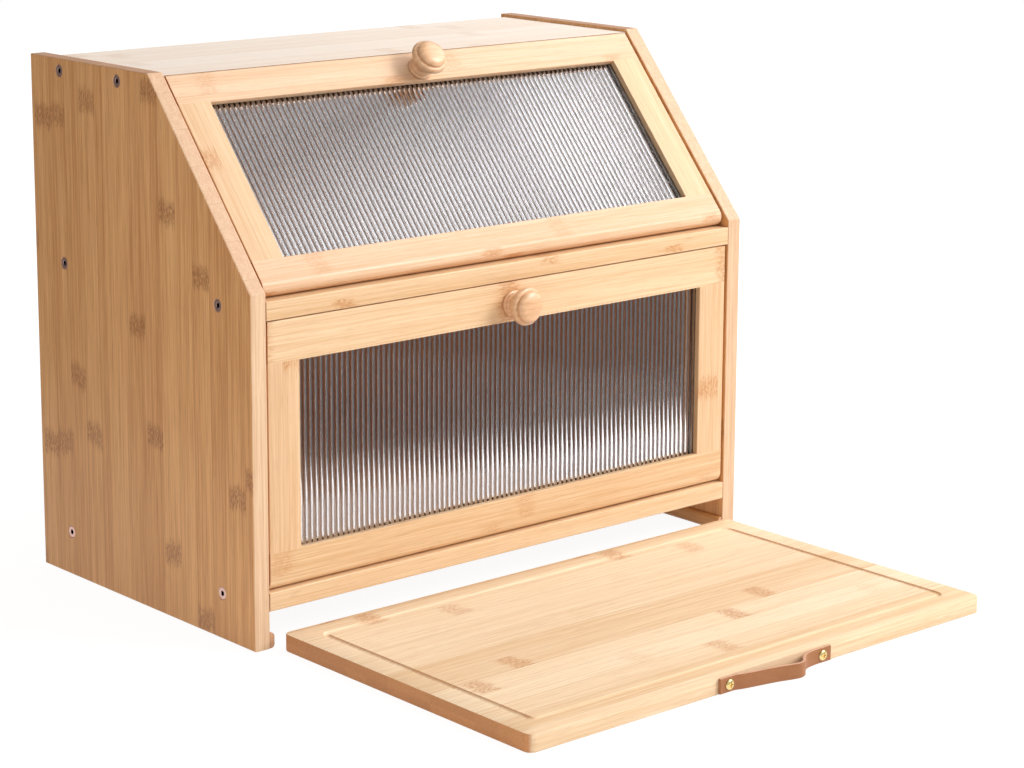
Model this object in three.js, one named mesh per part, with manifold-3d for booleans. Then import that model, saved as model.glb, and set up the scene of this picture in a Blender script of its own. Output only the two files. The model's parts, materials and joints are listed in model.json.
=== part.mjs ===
// A two-tier bamboo bread box. The upper door lies on the sloping front and the lower door stands
// upright below it; both drop open on pins at their feet. A cutting board with a leather pull slides
// between two guide strips under the box, and is drawn fully out here.
// Millimetres, +Z up, front towards -Y. The origin is on the table, under the middle of the whole.

import * as THREE from 'three';
import { mergeVertices } from 'three/addons/utils/BufferGeometryUtils.js';
import Module from 'manifold-3d';

const wasm = await Module();
wasm.setup();

// ---- Driving dimensions: case -------------------------------------------------------------------

const caseWidth = 400;
const caseHeight = 332;
const caseDepth = 232;
const slopeRun = 101.5; // from the front edge back to the top of the slope
const kneeHeight = 213.5; // where the upright front edge turns into the slope
const panelThickness = 11;
const boardThickness = 11.5; // top board, middle shelf and bottom board
const topBoardDrop = 2; // top board below the upper edges of the side panels
const slotHeight = 22.5; // free height below the bottom board
const boardEase = 0.8; // rounding of the long edges of boards and panels
const backThickness = 6;
const backInset = 4; // back panel and top board in from the rear edges of the side panels
const backGrooveDepth = 4;
const guideWidth = 3.4;
const guideHeight = 9.4;
const guideRounding = 2.2;
const guideSetback = 0.5; // guide strips in from the front and rear edges of the side panels
const seatGap = 0.3; // between pieces that are glued, screwed or slotted together

// ---- Driving dimensions: doors ------------------------------------------------------------------

const doorThickness = 12;
const doorSideClearance = 1.5;
const doorStopGap = 0.5; // between an open door's outer face and the board that stops it
const upperHeadGap = 0.4; // between the head of a closed door and the board above it
const lowerHeadGap = 0.8;
const upperDoorRecess = 1; // outer face below the slope of the side panels
const upperDoorFoot = 2.5; // from the knee up the slope to the foot of the door
const lowerDoorRecess = 1.1; // outer face behind the front edges of the side panels
const stileWidth = 23;
const upperTopRail = 21.3;
const upperBottomRail = 20.5;
const lowerTopRail = 25.4;
const lowerBottomRail = 23;
const frameRounding = 0.5; // long edges of rails, stiles and beads
const frameEase = 0.3; // ends of the rails
const paneSetback = 3.5; // pane behind the outer face of the frame
const paneThickness = 3; // over the flutes
const fluteHeight = 0.9;
const flutePitch = 3.93;
const rebateWidth = 5;
const beadWidth = 4.6;

// ---- Driving dimensions: hardware ---------------------------------------------------------------

const screwHeadDiameter = 7.8;
const screwHeadHeight = 1.9;
const screwShankDiameter = 4.2;
const screwLength = 42;
const screwSocket = 3; // across the flats of the hexagon
const screwSocketDepth = 1.6;
const screwInset = 33; // from the front and rear edges of a side panel
const hingePinDiameter = 4;
const hingePinInPanel = 6;
const hingePinInDoor = 11;
const hingePinClearance = 0.2;
const magnetDiameter = 6;
const magnetThickness = 2;
const strikeThickness = 1.5;
const catchInset = 34; // magnets and strikes in from the ends of a door
const catchDepth = 7.5; // and in from the door's outer face
const stopHeight = 7;
const stopDepth = 8;
const knobProjection = 20;
const knobFlangeDiameter = 16.4;
const knobFlangeHeight = 2.2;
const knobNeckDiameter = 13;
const knobNeckHeight = 4.2;
const knobHeadDiameter = 24;
const knobRimLow = 11.8; // the rim of the head is a rounded band between these two heights
const knobRimHigh = 14.6;
const knobDomeDiameter = 20.6;
const knobDomeHeight = 16.4; // of the foot of the dome
const upperKnobDrop = 2.3; // knobs below the middle of their rails
const lowerKnobDrop = 1;
const knobScrewDiameter = 4;
const knobScrewGrip = 11; // length of the screw inside the knob
const knobScrewHeadDiameter = 8;
const knobScrewHeadHeight = 2.4;

// ---- Driving dimensions: cutting board ----------------------------------------------------------

const cuttingBoardDepth = 220;
const cuttingBoardThickness = 11;
const cuttingBoardClearance = 0.4; // to each guide strip
const cuttingBoardGap = 7; // in front of the case, as it lies on the table
const cuttingBoardCorner = 3;
const cuttingBoardEase = 1;
const juiceGrooveInset = 17; // from the board's edge to the middle of the groove
const juiceGrooveWidth = 4.2;
const juiceGrooveDepth = 1.5;
const juiceGrooveCorner = 3;
const strapWidth = 9.2;
const strapThickness = 1.8;
const strapLeftEnd = -44;
const strapRightEnd = 47;
const strapBulge = 11.4; // from the board's edge to the middle of the leather, at the fold
const strapScrewInset = 7;
const strapScrewHeadDiameter = 6;
const strapScrewHeadHeight = 1.1;
const strapScrewShankDiameter = 2.6;
const strapScrewLength = 16;
const strapScrewSlot = 0.8; // width of the arms of the cross

// ---- Values worked out from the driving dimensions ----------------------------------------------

const xAxis = new THREE.Vector3(1, 0, 0);
const yAxis = new THREE.Vector3(0, 1, 0);
const zAxis = new THREE.Vector3(0, 0, 1);
const forwards = new THREE.Vector3(0, -1, 0);
const sides = [[-1, 'left'], [1, 'right']];

const innerHalfWidth = caseWidth / 2 - panelThickness;
const bottomBoardTop = slotHeight + boardThickness;
const topBoardTop = caseHeight - topBoardDrop;
const topBoardBottom = topBoardTop - boardThickness;
const backPanelFront = caseDepth - backInset - backThickness;

const slopeLength = Math.hypot(slopeRun, caseHeight - kneeHeight);
const slopeUp = new THREE.Vector3(0, slopeRun, caseHeight - kneeHeight).divideScalar(slopeLength);
const slopeOut = new THREE.Vector3(0, -slopeUp.z, slopeUp.y);
const slopeTilt = Math.atan2(slopeUp.y, slopeUp.z); // the upper door leans back by this angle

const doorHalfThickness = doorThickness / 2;
const doorHalfWidth = innerHalfWidth - doorSideClearance;
const windowHalfWidth = doorHalfWidth - stileWidth;
const doorOuter = -doorHalfThickness; // a door's faces as seen from its pivot
const doorInner = doorHalfThickness;
const paneHalfWidth = windowHalfWidth + rebateWidth - seatGap;
const paneFront = doorOuter + paneSetback + seatGap;
const paneBack = paneFront + paneThickness;
const beadFront = paneBack + seatGap;

// Each door turns about the centre of its rounded foot.
const upperPivot = new THREE.Vector3(0, 0, kneeHeight)
  .addScaledVector(slopeUp, upperDoorFoot + doorHalfThickness)
  .addScaledVector(slopeOut, -upperDoorRecess - doorHalfThickness);
const lowerPivot = new THREE.Vector3(
  0,
  lowerDoorRecess + doorHalfThickness,
  bottomBoardTop + doorStopGap + doorHalfThickness,
);

// The open upper door lies flat just above the shelf, so the shelf hangs from the pivot's height.
const shelfTop = upperPivot.z - doorHalfThickness - doorStopGap;
const shelfBottom = shelfTop - boardThickness;

// The top board's front edge is cut square to the slope and meets the head of the upper door there.
const topBoardNose = new THREE.Vector3(
  0,
  slopeRun + (upperDoorRecess - topBoardDrop * slopeOut.z) / -slopeOut.y,
  topBoardTop,
);
const upperDoorHeight =
  topBoardNose.clone().sub(upperPivot).dot(slopeUp) + doorHalfThickness - upperHeadGap;
const lowerDoorHeight = shelfBottom - lowerHeadGap - lowerPivot.z + doorHalfThickness;

const strikeX = doorHalfWidth - catchInset;

const cuttingBoardHalfWidth = innerHalfWidth - guideWidth - cuttingBoardClearance;
const cuttingBoardFront = -cuttingBoardGap - cuttingBoardDepth;

const arcSegments = 2; // half the number of steps in each arc of an outline
const roundSegments = 16; // round a pin, bore or screw
const knobSegments = 20;
const knobCurveSegments = 3;
const fluteSegments = 3;
const strapSegments = 32;

// ---- Materials ----------------------------------------------------------------------------------

const finishes = {
  bamboo: { color: 0xe6c393, roughness: 0.5, metalness: 0 },
  bambooSide: { color: 0xd7ae80, roughness: 0.5, metalness: 0 },
  turnedWood: { color: 0xd9a571, roughness: 0.35, metalness: 0 },
  acrylic: { color: 0xb9b2b3, roughness: 0.12, metalness: 0 },
  leather: { color: 0xb07f58, roughness: 0.6, metalness: 0 },
  brass: { color: 0xd2b15c, roughness: 0.3, metalness: 1 },
  steel: { color: 0xb4b2ae, roughness: 0.35, metalness: 1 },
  magnet: { color: 0x8f9196, roughness: 0.3, metalness: 1 },
};

function named(name, solid, finish) {
  const mesh = new THREE.Mesh(toGeometry(solid), new THREE.MeshStandardMaterial(finishes[finish]));
  mesh.name = name;
  return mesh;
}

// ---- Solids -------------------------------------------------------------------------------------

// Turns a closed three.js geometry into a solid that can be joined and cut.
function toSolid(geometry) {
  const bare = geometry.clone();
  bare.deleteAttribute('normal');
  bare.deleteAttribute('uv');
  const merged = mergeVertices(bare);
  const corners = merged.index.array;
  const triangles = [];
  for (let i = 0; i < corners.length; i += 3) {
    const [a, b, c] = corners.slice(i, i + 3);
    // a lathe's rings shrink to a point on its axis, which leaves triangles with no area there
    if (a !== b && b !== c && c !== a) triangles.push(a, b, c);
  }
  return new wasm.Manifold(
    new wasm.Mesh({
      numProp: 3,
      vertProperties: new Float32Array(merged.attributes.position.array),
      triVerts: new Uint32Array(triangles),
    }),
  );
}

function toGeometry(solid) {
  const { vertProperties, triVerts } = solid.getMesh();
  const geometry = new THREE.BufferGeometry();
  geometry.setAttribute('position', new THREE.BufferAttribute(vertProperties, 3));
  geometry.setIndex(new THREE.BufferAttribute(triVerts, 1));
  geometry.computeVertexNormals();
  return geometry;
}

function cut(solid, cutters) {
  return cutters.reduce((rest, cutter) => rest.subtract(cutter), solid);
}

// Extrudes an outline along its normal. The end faces can be eased like the long edges.
function extrude(outline, length, ease = 0) {
  const geometry = new THREE.ExtrudeGeometry(outline, {
    depth: length - 2 * ease,
    curveSegments: arcSegments,
    bevelEnabled: ease > 0,
    bevelThickness: ease,
    bevelSize: ease,
    bevelOffset: -ease,
    bevelSegments: 2,
  });
  return geometry.translate(0, 0, ease);
}

// An outline drawn in (Y, Z), extruded along X and centred on x.
function alongX(outline, x, length, ease) {
  const geometry = extrude(outline, length, ease);
  geometry.applyMatrix4(new THREE.Matrix4().makeBasis(yAxis, zAxis, xAxis));
  return toSolid(geometry.translate(x - length / 2, 0, 0));
}

// An outline drawn in (X, Z), extruded along Y from rear to front.
function alongY(outline, front, length, ease) {
  const geometry = extrude(outline, length, ease);
  geometry.applyMatrix4(new THREE.Matrix4().makeBasis(xAxis, zAxis, forwards));
  return toSolid(geometry.translate(0, front + length, 0));
}

// An outline drawn in (X, Y), extruded along Z.
function alongZ(outline, bottom, length, ease) {
  return toSolid(extrude(outline, length, ease).translate(0, 0, bottom));
}

// A rectangle with rounded corners.
function rectangle(left, low, right, high, rounding) {
  const quarter = Math.PI / 2;
  const outline = new THREE.Shape();
  outline.absarc(right - rounding, low + rounding, rounding, -quarter, 0);
  outline.absarc(right - rounding, high - rounding, rounding, 0, quarter);
  outline.absarc(left + rounding, high - rounding, rounding, quarter, 2 * quarter);
  outline.absarc(left + rounding, low + rounding, rounding, 2 * quarter, 3 * quarter);
  return outline;
}

function ordered(a, b) {
  return [Math.min(a, b), Math.max(a, b)];
}

function block(low, high) {
  const size = new THREE.Vector3().subVectors(high, low);
  const middle = new THREE.Vector3().addVectors(low, high).divideScalar(2);
  const geometry = new THREE.BoxGeometry(size.x, size.y, size.z);
  return toSolid(geometry.translate(middle.x, middle.y, middle.z));
}

// Turns a geometry built up the Y axis so that it points along direction, and moves its base there.
function stand(geometry, base, direction) {
  geometry.applyQuaternion(new THREE.Quaternion().setFromUnitVectors(yAxis, direction));
  return toSolid(geometry.translate(base.x, base.y, base.z));
}

function rod(base, direction, length, diameter) {
  const geometry = new THREE.CylinderGeometry(diameter / 2, diameter / 2, length, roundSegments);
  return stand(geometry.translate(0, length / 2, 0), base, direction);
}

// A round piece from a profile of [diameter, height] pairs that starts and ends on the axis.
function turned(profile, segments, base, direction) {
  const points = profile.map(([diameter, height]) => new THREE.Vector2(diameter / 2, height));
  return stand(new THREE.LatheGeometry(points, segments), base, direction);
}

// ---- Side screws --------------------------------------------------------------------------------

const rearScrewY = caseDepth - screwInset;
const screwPlaces = [
  { name: 'top_front', y: slopeRun + screwInset, z: topBoardTop - boardThickness / 2 },
  { name: 'top_back', y: rearScrewY, z: topBoardTop - boardThickness / 2 },
  { name: 'shelf_front', y: screwInset, z: shelfTop - boardThickness / 2 },
  { name: 'shelf_back', y: rearScrewY, z: shelfTop - boardThickness / 2 },
  { name: 'bottom_front', y: screwInset, z: bottomBoardTop - boardThickness / 2 },
  { name: 'bottom_back', y: rearScrewY, z: bottomBoardTop - boardThickness / 2 },
];

const sideScrewProfile = [
  [0, -screwLength],
  [screwShankDiameter, -screwLength],
  [screwShankDiameter, -screwHeadHeight],
  [screwHeadDiameter, 0],
  [0, 0],
];

const sideScrewHoleProfile = [
  [0, -screwLength - seatGap],
  [screwShankDiameter + 2 * seatGap, -screwLength - seatGap],
  [screwShankDiameter + 2 * seatGap, -screwHeadHeight],
  [screwHeadDiameter + 2 * seatGap, 0],
  [screwHeadDiameter + 2 * seatGap, screwHeadHeight],
  [0, screwHeadHeight],
];

// The middle of a screw's head, just below the outer face of a side panel (-1 left, +1 right).
function screwSeat(side, { y, z }) {
  return new THREE.Vector3(side * (caseWidth / 2 - seatGap), y, z);
}

function makeSideScrews(side, word) {
  return screwPlaces.map((place) => {
    const outwards = xAxis.clone().multiplyScalar(side);
    const seat = screwSeat(side, place);
    const radius = screwSocket / Math.sqrt(3);
    const hexagon = new THREE.CylinderGeometry(radius, radius, 2 * screwSocketDepth, 6);
    const body = turned(sideScrewProfile, roundSegments, seat, outwards);
    const screw = body.subtract(stand(hexagon, seat, outwards));
    return named(`side_screw_${word}_${place.name}`, screw, 'steel');
  });
}

function sideScrewHoles(side) {
  return screwPlaces.map((place) => {
    const outwards = xAxis.clone().multiplyScalar(side);
    return turned(sideScrewHoleProfile, roundSegments, screwSeat(side, place), outwards);
  });
}

const allScrewHoles = [...sideScrewHoles(-1), ...sideScrewHoles(1)];

// ---- Case ---------------------------------------------------------------------------------------

function makeSidePanel(side, word) {
  const outline = new THREE.Shape();
  outline.moveTo(0, 0);
  outline.lineTo(caseDepth, 0);
  outline.lineTo(caseDepth, caseHeight);
  outline.lineTo(slopeRun, caseHeight);
  outline.lineTo(0, kneeHeight);
  const middle = side * (caseWidth - panelThickness) / 2;
  const blank = alongX(outline, middle, panelThickness, boardEase);

  const floor = side * (innerHalfWidth + backGrooveDepth);
  const mouth = side * (innerHalfWidth - panelThickness);
  const [left, right] = ordered(floor, mouth);
  const groove = block(
    new THREE.Vector3(left, backPanelFront - seatGap, slotHeight - seatGap),
    new THREE.Vector3(right, backPanelFront + backThickness + seatGap, topBoardBottom),
  );
  const inwards = xAxis.clone().multiplyScalar(-side);
  const pinHoles = [upperPivot, lowerPivot].map((pivot) => {
    const end = pivot.clone().setX(side * (innerHalfWidth + hingePinInPanel + seatGap));
    const length = hingePinInPanel + seatGap + panelThickness;
    return rod(end, inwards, length, hingePinDiameter + 2 * hingePinClearance);
  });
  const panel = cut(blank, [groove, ...pinHoles, ...sideScrewHoles(side)]);
  return named(`side_panel_${word}`, panel, 'bambooSide');
}

// The boards run between the side panels and stop in front of the back panel.
function makeBoard(name, top, magnetPockets) {
  const rear = backPanelFront - seatGap;
  const outline = rectangle(0, top - boardThickness, rear, top, boardEase);
  const blank = alongX(outline, 0, 2 * (innerHalfWidth - seatGap));
  return named(name, cut(blank, [...allScrewHoles, ...magnetPockets]), 'bamboo');
}

// The top board covers the back panel. Its front edge is rebated for the head of the upper door,
// and the lip of the rebate stops the door from swinging inwards.
function makeTopBoard(magnetPockets) {
  const corner = topBoardNose.clone().addScaledVector(slopeOut, -doorThickness - doorStopGap);
  const lipRun = ((corner.z - topBoardBottom) * slopeUp.y) / slopeUp.z;
  const rear = caseDepth - backInset;
  const outline = new THREE.Shape();
  outline.moveTo(topBoardNose.y, topBoardTop);
  outline.lineTo(corner.y, corner.z);
  outline.lineTo(corner.y - lipRun, topBoardBottom);
  outline.absarc(rear - boardEase, topBoardBottom + boardEase, boardEase, -Math.PI / 2, 0);
  outline.absarc(rear - boardEase, topBoardTop - boardEase, boardEase, 0, Math.PI / 2);
  const blank = alongX(outline, 0, 2 * (innerHalfWidth - seatGap));
  return named('top_board', cut(blank, [...allScrewHoles, ...magnetPockets]), 'bamboo');
}

function makeBackPanel() {
  const halfWidth = innerHalfWidth + backGrooveDepth - seatGap;
  const panel = block(
    new THREE.Vector3(-halfWidth, backPanelFront, slotHeight),
    new THREE.Vector3(halfWidth, backPanelFront + backThickness, topBoardBottom - seatGap),
  );
  return named('back_panel', panel, 'bamboo');
}

// The lower door closes against a batten under the shelf.
function makeDoorStop() {
  const front = lowerDoorRecess + doorThickness + doorStopGap;
  const high = shelfBottom - seatGap;
  const outline = rectangle(front, high - stopHeight, front + stopDepth, high, boardEase);
  return named('lower_door_stop', alongX(outline, 0, 2 * (innerHalfWidth - seatGap)), 'bamboo');
}

// A strip along the foot of each side panel, with its inner edges rounded.
function makeGuideStrip(side, word) {
  const wall = side * (innerHalfWidth - seatGap);
  const free = side * (innerHalfWidth - guideWidth);
  const centre = free + side * guideRounding;
  const up = Math.PI / 2;
  const inwards = up + (side * Math.PI) / 2;
  const down = up + side * Math.PI;
  const clockwise = side < 0;
  const outline = new THREE.Shape();
  outline.moveTo(wall, 0);
  outline.lineTo(wall, guideHeight);
  outline.absarc(centre, guideHeight - guideRounding, guideRounding, up, inwards, clockwise);
  outline.absarc(centre, guideRounding, guideRounding, inwards, down, clockwise);
  const strip = alongY(outline, guideSetback, caseDepth - 2 * guideSetback);
  return named(`guide_strip_${word}`, strip, 'bambooSide');
}

// ---- Knobs --------------------------------------------------------------------------------------

// The knob is turned with a flange at the door, a bell that flares from its neck to a rounded rim,
// and a dome set in from the rim.
function knobProfile() {
  const bore = knobScrewDiameter / 2 + seatGap;
  const boreDepth = knobScrewGrip + seatGap;
  const flange = knobFlangeDiameter / 2;
  const neck = knobNeckDiameter / 2;
  const head = knobHeadDiameter / 2;
  const dome = knobDomeDiameter / 2;
  const bellRise = knobRimLow - knobNeckHeight;
  const domeRise = knobProjection - knobDomeHeight;
  const profile = new THREE.Path();
  profile.moveTo(0, boreDepth);
  profile.lineTo(bore, boreDepth);
  profile.lineTo(bore, 0);
  profile.lineTo(flange, 0);
  profile.lineTo(flange, knobFlangeHeight);
  profile.lineTo(neck, knobNeckHeight);
  profile.bezierCurveTo(
    neck,
    knobNeckHeight + bellRise * 0.35,
    head,
    knobNeckHeight + bellRise * 0.55,
    head,
    knobRimLow,
  );
  profile.lineTo(head, knobRimHigh);
  profile.lineTo(dome, knobDomeHeight);
  profile.absellipse(0, knobDomeHeight, dome, domeRise, 0, Math.PI / 2);
  return profile.getPoints(knobCurveSegments);
}

function makeKnob(prefix, { knobMiddle }) {
  const base = new THREE.Vector3(0, doorOuter - seatGap, knobMiddle);
  const knob = stand(new THREE.LatheGeometry(knobProfile(), knobSegments), base, forwards);
  return named(`${prefix}_knob`, knob, 'turnedWood');
}

// Heights run from the inner face of the door, where the head sits, to the tip inside the knob.
function makeKnobScrew(prefix, { knobMiddle }) {
  const tip = doorThickness + knobScrewGrip;
  const profile = [
    [0, -knobScrewHeadHeight],
    [knobScrewHeadDiameter * 0.6, -knobScrewHeadHeight],
    [knobScrewHeadDiameter, -knobScrewHeadHeight * 0.4],
    [knobScrewHeadDiameter, 0],
    [knobScrewDiameter, 0],
    [knobScrewDiameter, tip],
    [0, tip],
  ];
  const seat = new THREE.Vector3(0, doorInner + seatGap, knobMiddle);
  return named(`${prefix}_knob_screw`, turned(profile, roundSegments, seat, forwards), 'steel');
}

// ---- Doors --------------------------------------------------------------------------------------

// The levels of a door's parts above its pivot.
function doorLevels(height, topRail, bottomRail, knobDrop) {
  const foot = -doorHalfThickness;
  const head = foot + height;
  const windowLow = foot + bottomRail;
  const windowHigh = head - topRail;
  return {
    head,
    windowLow,
    windowHigh,
    paneLow: windowLow - rebateWidth + seatGap,
    paneHigh: windowHigh + rebateWidth - seatGap,
    knobMiddle: head - topRail / 2 - knobDrop,
  };
}

// The rebate round the window holds the pane and its beads, and is open to the inside of the case.
function doorRebate({ windowLow, windowHigh }) {
  const halfWidth = windowHalfWidth + rebateWidth;
  return block(
    new THREE.Vector3(-halfWidth, doorOuter + paneSetback, windowLow - rebateWidth),
    new THREE.Vector3(halfWidth, doorInner + doorThickness, windowHigh + rebateWidth),
  );
}

// The foot of the door is a half round about the hinge axis.
function makeBottomRail(prefix, levels) {
  const up = Math.PI / 2;
  const shoulder = levels.windowLow - frameRounding;
  const outline = new THREE.Shape();
  outline.absarc(0, 0, doorHalfThickness, 2 * up, 3 * up);
  outline.absarc(0, 0, doorHalfThickness, 3 * up, 4 * up);
  outline.lineTo(doorInner, levels.windowLow);
  outline.absarc(doorOuter + frameRounding, shoulder, frameRounding, up, 2 * up);
  const blank = alongX(outline, 0, 2 * doorHalfWidth, frameEase);

  const pinSockets = sides.map(([side]) => {
    const end = new THREE.Vector3(side * (doorHalfWidth - hingePinInDoor - seatGap), 0, 0);
    const outwards = xAxis.clone().multiplyScalar(side);
    const diameter = hingePinDiameter + 2 * hingePinClearance;
    return rod(end, outwards, hingePinInDoor + doorThickness, diameter);
  });
  const rail = cut(blank, [doorRebate(levels), ...pinSockets]);
  return named(`${prefix}_bottom_rail`, rail, 'bamboo');
}

function makeTopRail(prefix, levels) {
  const { head, windowHigh, knobMiddle } = levels;
  const outline = rectangle(doorOuter, windowHigh, doorInner, head, frameRounding);
  const blank = alongX(outline, 0, 2 * doorHalfWidth, frameEase);

  const screwHole = rod(
    new THREE.Vector3(0, doorInner + doorThickness, knobMiddle),
    forwards,
    3 * doorThickness,
    knobScrewDiameter + 2 * seatGap,
  );
  const strikePockets = sides.map(([side]) => {
    const floor = head - strikeThickness - seatGap;
    const base = new THREE.Vector3(side * strikeX, doorOuter + catchDepth, floor);
    return rod(base, zAxis, 2 * strikeThickness, magnetDiameter + 2 * seatGap);
  });
  const rail = cut(blank, [doorRebate(levels), screwHole, ...strikePockets]);
  return named(`${prefix}_top_rail`, rail, 'bamboo');
}

function makeStile(prefix, levels, side, word) {
  const [left, right] = ordered(side * windowHalfWidth, side * doorHalfWidth);
  const outline = rectangle(left, doorOuter, right, doorInner, frameRounding);
  const length = levels.windowHigh - levels.windowLow - 2 * seatGap;
  const stile = alongZ(outline, levels.windowLow + seatGap, length).subtract(doorRebate(levels));
  return named(`${prefix}_stile_${word}`, stile, 'bamboo');
}

// The pane has flutes running up its front and a flat back.
function makePane(prefix, { paneLow, paneHigh }) {
  const valley = paneFront + fluteHeight;
  const count = Math.floor((2 * paneHalfWidth) / flutePitch);
  const firstFlute = (-count * flutePitch) / 2;
  const outline = new THREE.Shape();
  outline.moveTo(-paneHalfWidth, paneBack);
  outline.lineTo(-paneHalfWidth, valley);
  outline.lineTo(firstFlute, valley);
  for (let step = 1; step <= count * fluteSegments; step += 1) {
    const turn = (step / fluteSegments) * Math.PI;
    const crown = fluteHeight * Math.abs(Math.sin(turn));
    outline.lineTo(firstFlute + (step / fluteSegments) * flutePitch, valley - crown);
  }
  outline.lineTo(paneHalfWidth, valley);
  outline.lineTo(paneHalfWidth, paneBack);
  return named(`${prefix}_pane`, alongZ(outline, paneLow, paneHigh - paneLow), 'acrylic');
}

// Glazing beads hold the pane from behind. The long ones run the full width of the rebate, and the
// short ones stand between them.
function makeLongBead(prefix, word, low) {
  const outline = rectangle(beadFront, low, doorInner, low + beadWidth, frameRounding);
  return named(`${prefix}_bead_${word}`, alongX(outline, 0, 2 * paneHalfWidth), 'bamboo');
}

function makeShortBead(prefix, { paneLow, paneHigh }, side, word) {
  const [left, right] = ordered(side * paneHalfWidth, side * (paneHalfWidth - beadWidth));
  const outline = rectangle(left, beadFront, right, doorInner, frameRounding);
  const low = paneLow + beadWidth + seatGap;
  const high = paneHigh - beadWidth - seatGap;
  return named(`${prefix}_bead_${word}`, alongZ(outline, low, high - low), 'bamboo');
}

function makeHingePin(prefix, side, word) {
  const start = new THREE.Vector3(side * (innerHalfWidth + hingePinInPanel), 0, 0);
  const inwards = xAxis.clone().multiplyScalar(-side);
  const length = hingePinInPanel + doorSideClearance + hingePinInDoor;
  return named(`${prefix}_hinge_pin_${word}`, rod(start, inwards, length, hingePinDiameter), 'steel');
}

function makeStrike(prefix, { head }, side, word) {
  const base = new THREE.Vector3(side * strikeX, doorOuter + catchDepth, head - strikeThickness);
  return named(`${prefix}_strike_${word}`, rod(base, zAxis, strikeThickness, magnetDiameter), 'steel');
}

// A door is drawn upright, with its pivot at the origin and its outer face towards -Y.
function makeDoor(prefix, levels) {
  const door = new THREE.Group();
  door.add(
    makeBottomRail(prefix, levels),
    makeTopRail(prefix, levels),
    makePane(prefix, levels),
    makeLongBead(prefix, 'bottom', levels.paneLow),
    makeLongBead(prefix, 'top', levels.paneHigh - beadWidth),
    makeKnob(prefix, levels),
    makeKnobScrew(prefix, levels),
  );
  for (const [side, word] of sides) {
    door.add(
      makeStile(prefix, levels, side, word),
      makeShortBead(prefix, levels, side, word),
      makeHingePin(prefix, side, word),
      makeStrike(prefix, levels, side, word),
    );
  }
  return door;
}

// ---- Catch magnets ------------------------------------------------------------------------------

// Each magnet is let into the edge that a door's head closes against, opposite a strike disc.
function magnetSeats(face, outwards) {
  return sides.map(([side, word]) => ({ word, face: face.clone().setX(side * strikeX), outwards }));
}

const upperMagnets = magnetSeats(
  topBoardNose.clone().addScaledVector(slopeOut, -catchDepth),
  slopeUp.clone().negate(),
);
const lowerMagnets = magnetSeats(
  new THREE.Vector3(0, lowerDoorRecess + catchDepth, shelfBottom),
  zAxis.clone().negate(),
);

function magnetPocket({ face, outwards }) {
  const floor = face.clone().addScaledVector(outwards, -magnetThickness - seatGap);
  return rod(floor, outwards, 2 * magnetThickness, magnetDiameter + 2 * seatGap);
}

function makeMagnet(prefix, { word, face, outwards }) {
  const base = face.clone().addScaledVector(outwards, -magnetThickness);
  return named(`${prefix}_${word}`, rod(base, outwards, magnetThickness, magnetDiameter), 'magnet');
}

// ---- Cutting board ------------------------------------------------------------------------------

const strapScrewX = [strapLeftEnd + strapScrewInset, strapRightEnd - strapScrewInset];
const strapMiddle = cuttingBoardThickness / 2;

function makeStrapScrew(x, word) {
  const seat = new THREE.Vector3(x, cuttingBoardFront - strapThickness - 2 * seatGap, strapMiddle);
  const body = turned(
    [
      [0, -strapScrewLength],
      [strapScrewShankDiameter, -strapScrewLength],
      [strapScrewShankDiameter, 0],
      [strapScrewHeadDiameter, 0],
      [strapScrewHeadDiameter * 0.92, strapScrewHeadHeight * 0.5],
      [strapScrewHeadDiameter * 0.6, strapScrewHeadHeight],
      [0, strapScrewHeadHeight],
    ],
    roundSegments,
    seat,
    forwards,
  );
  const arm = strapScrewHeadDiameter * 0.27;
  const half = strapScrewSlot / 2;
  const crown = seat.y - strapScrewHeadHeight;
  const arms = [[arm, half], [half, arm]].map(([dx, dz]) =>
    block(
      new THREE.Vector3(x - dx, crown - strapScrewHeadHeight, strapMiddle - dz),
      new THREE.Vector3(x + dx, crown + strapScrewHeadHeight * 0.8, strapMiddle + dz),
    ),
  );
  return named(`strap_screw_${word}`, cut(body, arms), 'brass');
}

function makeCuttingBoard() {
  const half = cuttingBoardHalfWidth;
  const rear = -cuttingBoardGap;
  const outline = rectangle(-half, cuttingBoardFront, half, rear, cuttingBoardCorner);
  const blank = alongZ(outline, 0, cuttingBoardThickness, cuttingBoardEase);

  const outerInset = juiceGrooveInset - juiceGrooveWidth / 2;
  const innerInset = juiceGrooveInset + juiceGrooveWidth / 2;
  const ring = rectangle(
    -half + outerInset,
    cuttingBoardFront + outerInset,
    half - outerInset,
    rear - outerInset,
    juiceGrooveCorner + juiceGrooveWidth,
  );
  ring.holes.push(
    rectangle(
      -half + innerInset,
      cuttingBoardFront + innerInset,
      half - innerInset,
      rear - innerInset,
      juiceGrooveCorner,
    ),
  );
  const floor = cuttingBoardThickness - juiceGrooveDepth;
  const groove = alongZ(ring, floor, 2 * juiceGrooveDepth, juiceGrooveDepth * 0.7);
  const screwHoles = strapScrewX.map((x) =>
    rod(
      new THREE.Vector3(x, cuttingBoardFront - strapThickness, strapMiddle),
      yAxis,
      strapScrewLength,
      strapScrewShankDiameter + 2 * seatGap,
    ),
  );
  return named('cutting_board', cut(blank, [groove, ...screwHoles]), 'bamboo');
}

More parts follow.
